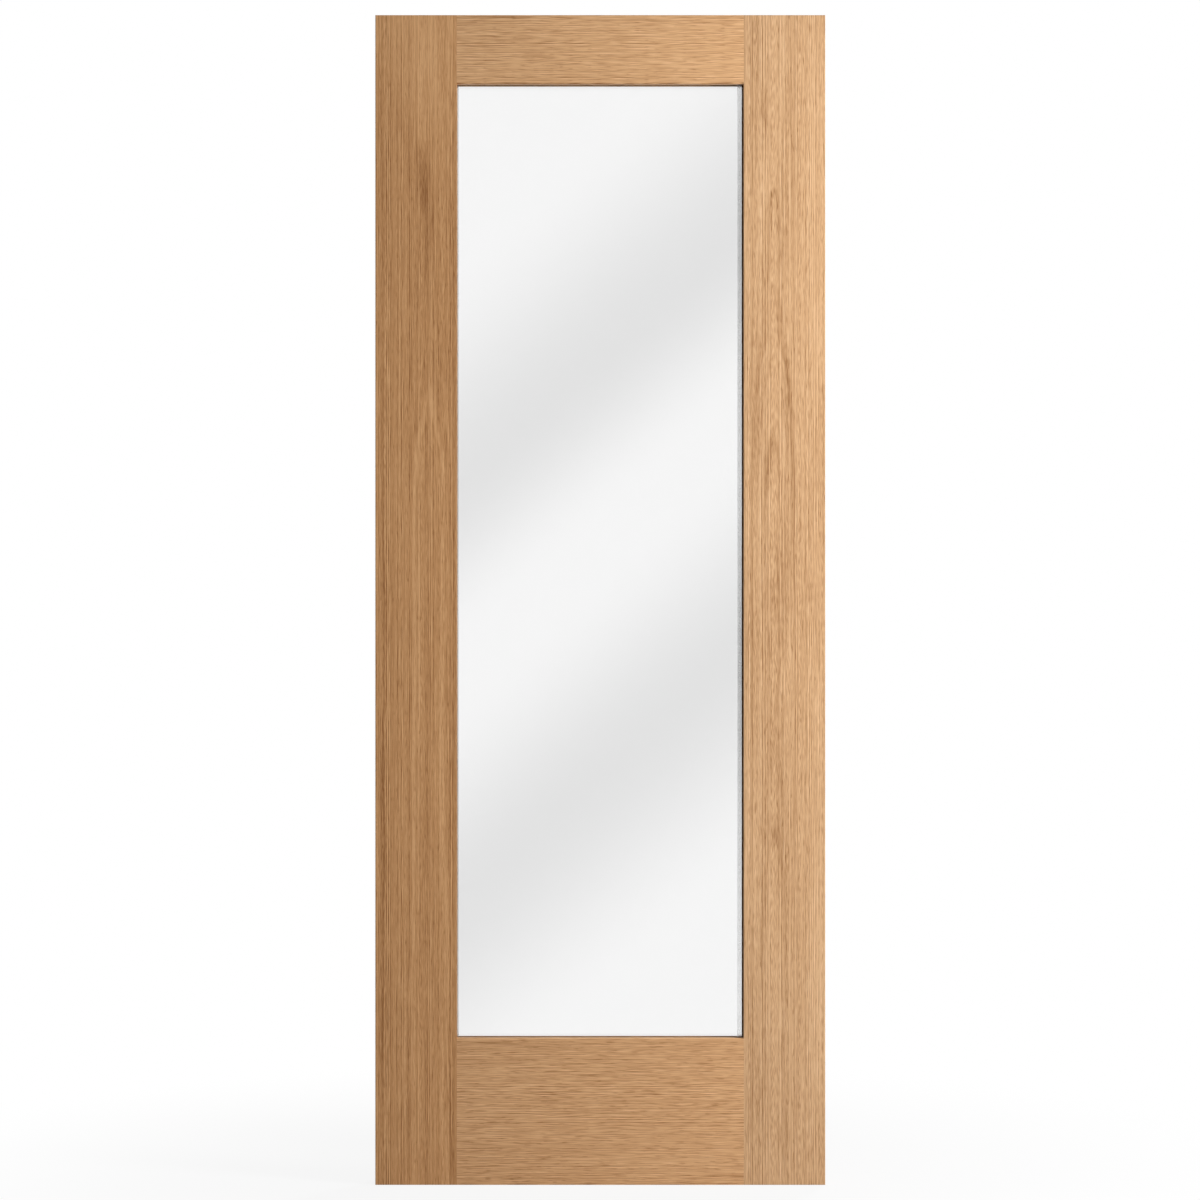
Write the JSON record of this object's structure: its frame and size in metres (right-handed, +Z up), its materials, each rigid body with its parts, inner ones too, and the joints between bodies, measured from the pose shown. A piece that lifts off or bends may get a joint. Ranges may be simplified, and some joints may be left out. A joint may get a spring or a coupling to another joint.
{
  "type": "glazed door leaf",
  "caption": "Oak veneered door leaf, fully glazed: two stiles, top rail and deep bottom rail round one tall sealed glass unit held by beads on the back.",
  "frame": {"origin": "foot of the hinge edge, on its outer face, in the middle of the leaf's thickness", "axes": "+X from the hinge edge to the lock edge, +Y from the front face of the leaf to the back face, +Z up"},
  "size_m": [0.762, 0.044, 1.981],
  "materials": {
    "oak_hinge_stile": "clear satin lacquer over crown-cut oak veneer",
    "oak_lock_stile": "clear satin lacquer over crown-cut oak veneer",
    "oak_top_rail": "clear satin lacquer over straight-grained oak veneer",
    "oak_bottom_rail": "clear satin lacquer over straight-grained oak veneer",
    "oak_lipping": "clear satin lacquer over solid oak",
    "oak_bead": "clear satin lacquer over solid oak",
    "engineered_core": "laminated softwood, sawn ends sealed",
    "clear_glass": "clear float glass",
    "spacer_metal": "mill finish, rolled",
    "edge_sealant": "matt",
    "glazing_tape": "matt closed-cell foam",
    "setting_block": "moulded"
  },
  "bodies": {
    "root": {"hinge_stile_front_veneer": "oak_hinge_stile", "hinge_stile_back_veneer": "oak_hinge_stile", "lock_stile_front_veneer": "oak_lock_stile", "lock_stile_back_veneer": "oak_lock_stile", "top_rail_front_veneer": "oak_top_rail", "top_rail_back_veneer": "oak_top_rail", "bottom_rail_front_veneer": "oak_bottom_rail", "bottom_rail_back_veneer": "oak_bottom_rail", "hinge_stile_outer_lipping": "oak_lipping", "hinge_stile_inner_lipping": "oak_lipping", "lock_stile_outer_lipping": "oak_lipping", "lock_stile_inner_lipping": "oak_lipping", "top_rail_lipping": "oak_lipping", "bottom_rail_lipping": "oak_lipping", "glazing_bead_bottom": "oak_bead", "glazing_bead_lock_side": "oak_bead", "glazing_bead_top": "oak_bead", "glazing_bead_hinge_side": "oak_bead", "hinge_stile_core": "engineered_core", "lock_stile_core": "engineered_core", "top_rail_core": "engineered_core", "bottom_rail_core": "engineered_core", "outer_pane": "clear_glass", "inner_pane": "clear_glass", "spacer_bar_bottom": "spacer_metal", "spacer_bar_lock_side": "spacer_metal", "spacer_bar_top": "spacer_metal", "spacer_bar_hinge_side": "spacer_metal", "edge_sealant_bottom": "edge_sealant", "edge_sealant_lock_side": "edge_sealant", "edge_sealant_top": "edge_sealant", "edge_sealant_hinge_side": "edge_sealant", "front_tape_bottom": "glazing_tape", "front_tape_lock_side": "glazing_tape", "front_tape_top": "glazing_tape", "front_tape_hinge_side": "glazing_tape", "back_tape_bottom": "glazing_tape", "back_tape_lock_side": "glazing_tape", "back_tape_top": "glazing_tape", "back_tape_hinge_side": "glazing_tape", "setting_block_hinge_side": "setting_block", "setting_block_lock_side": "setting_block"}
  },
  "joints": []
}
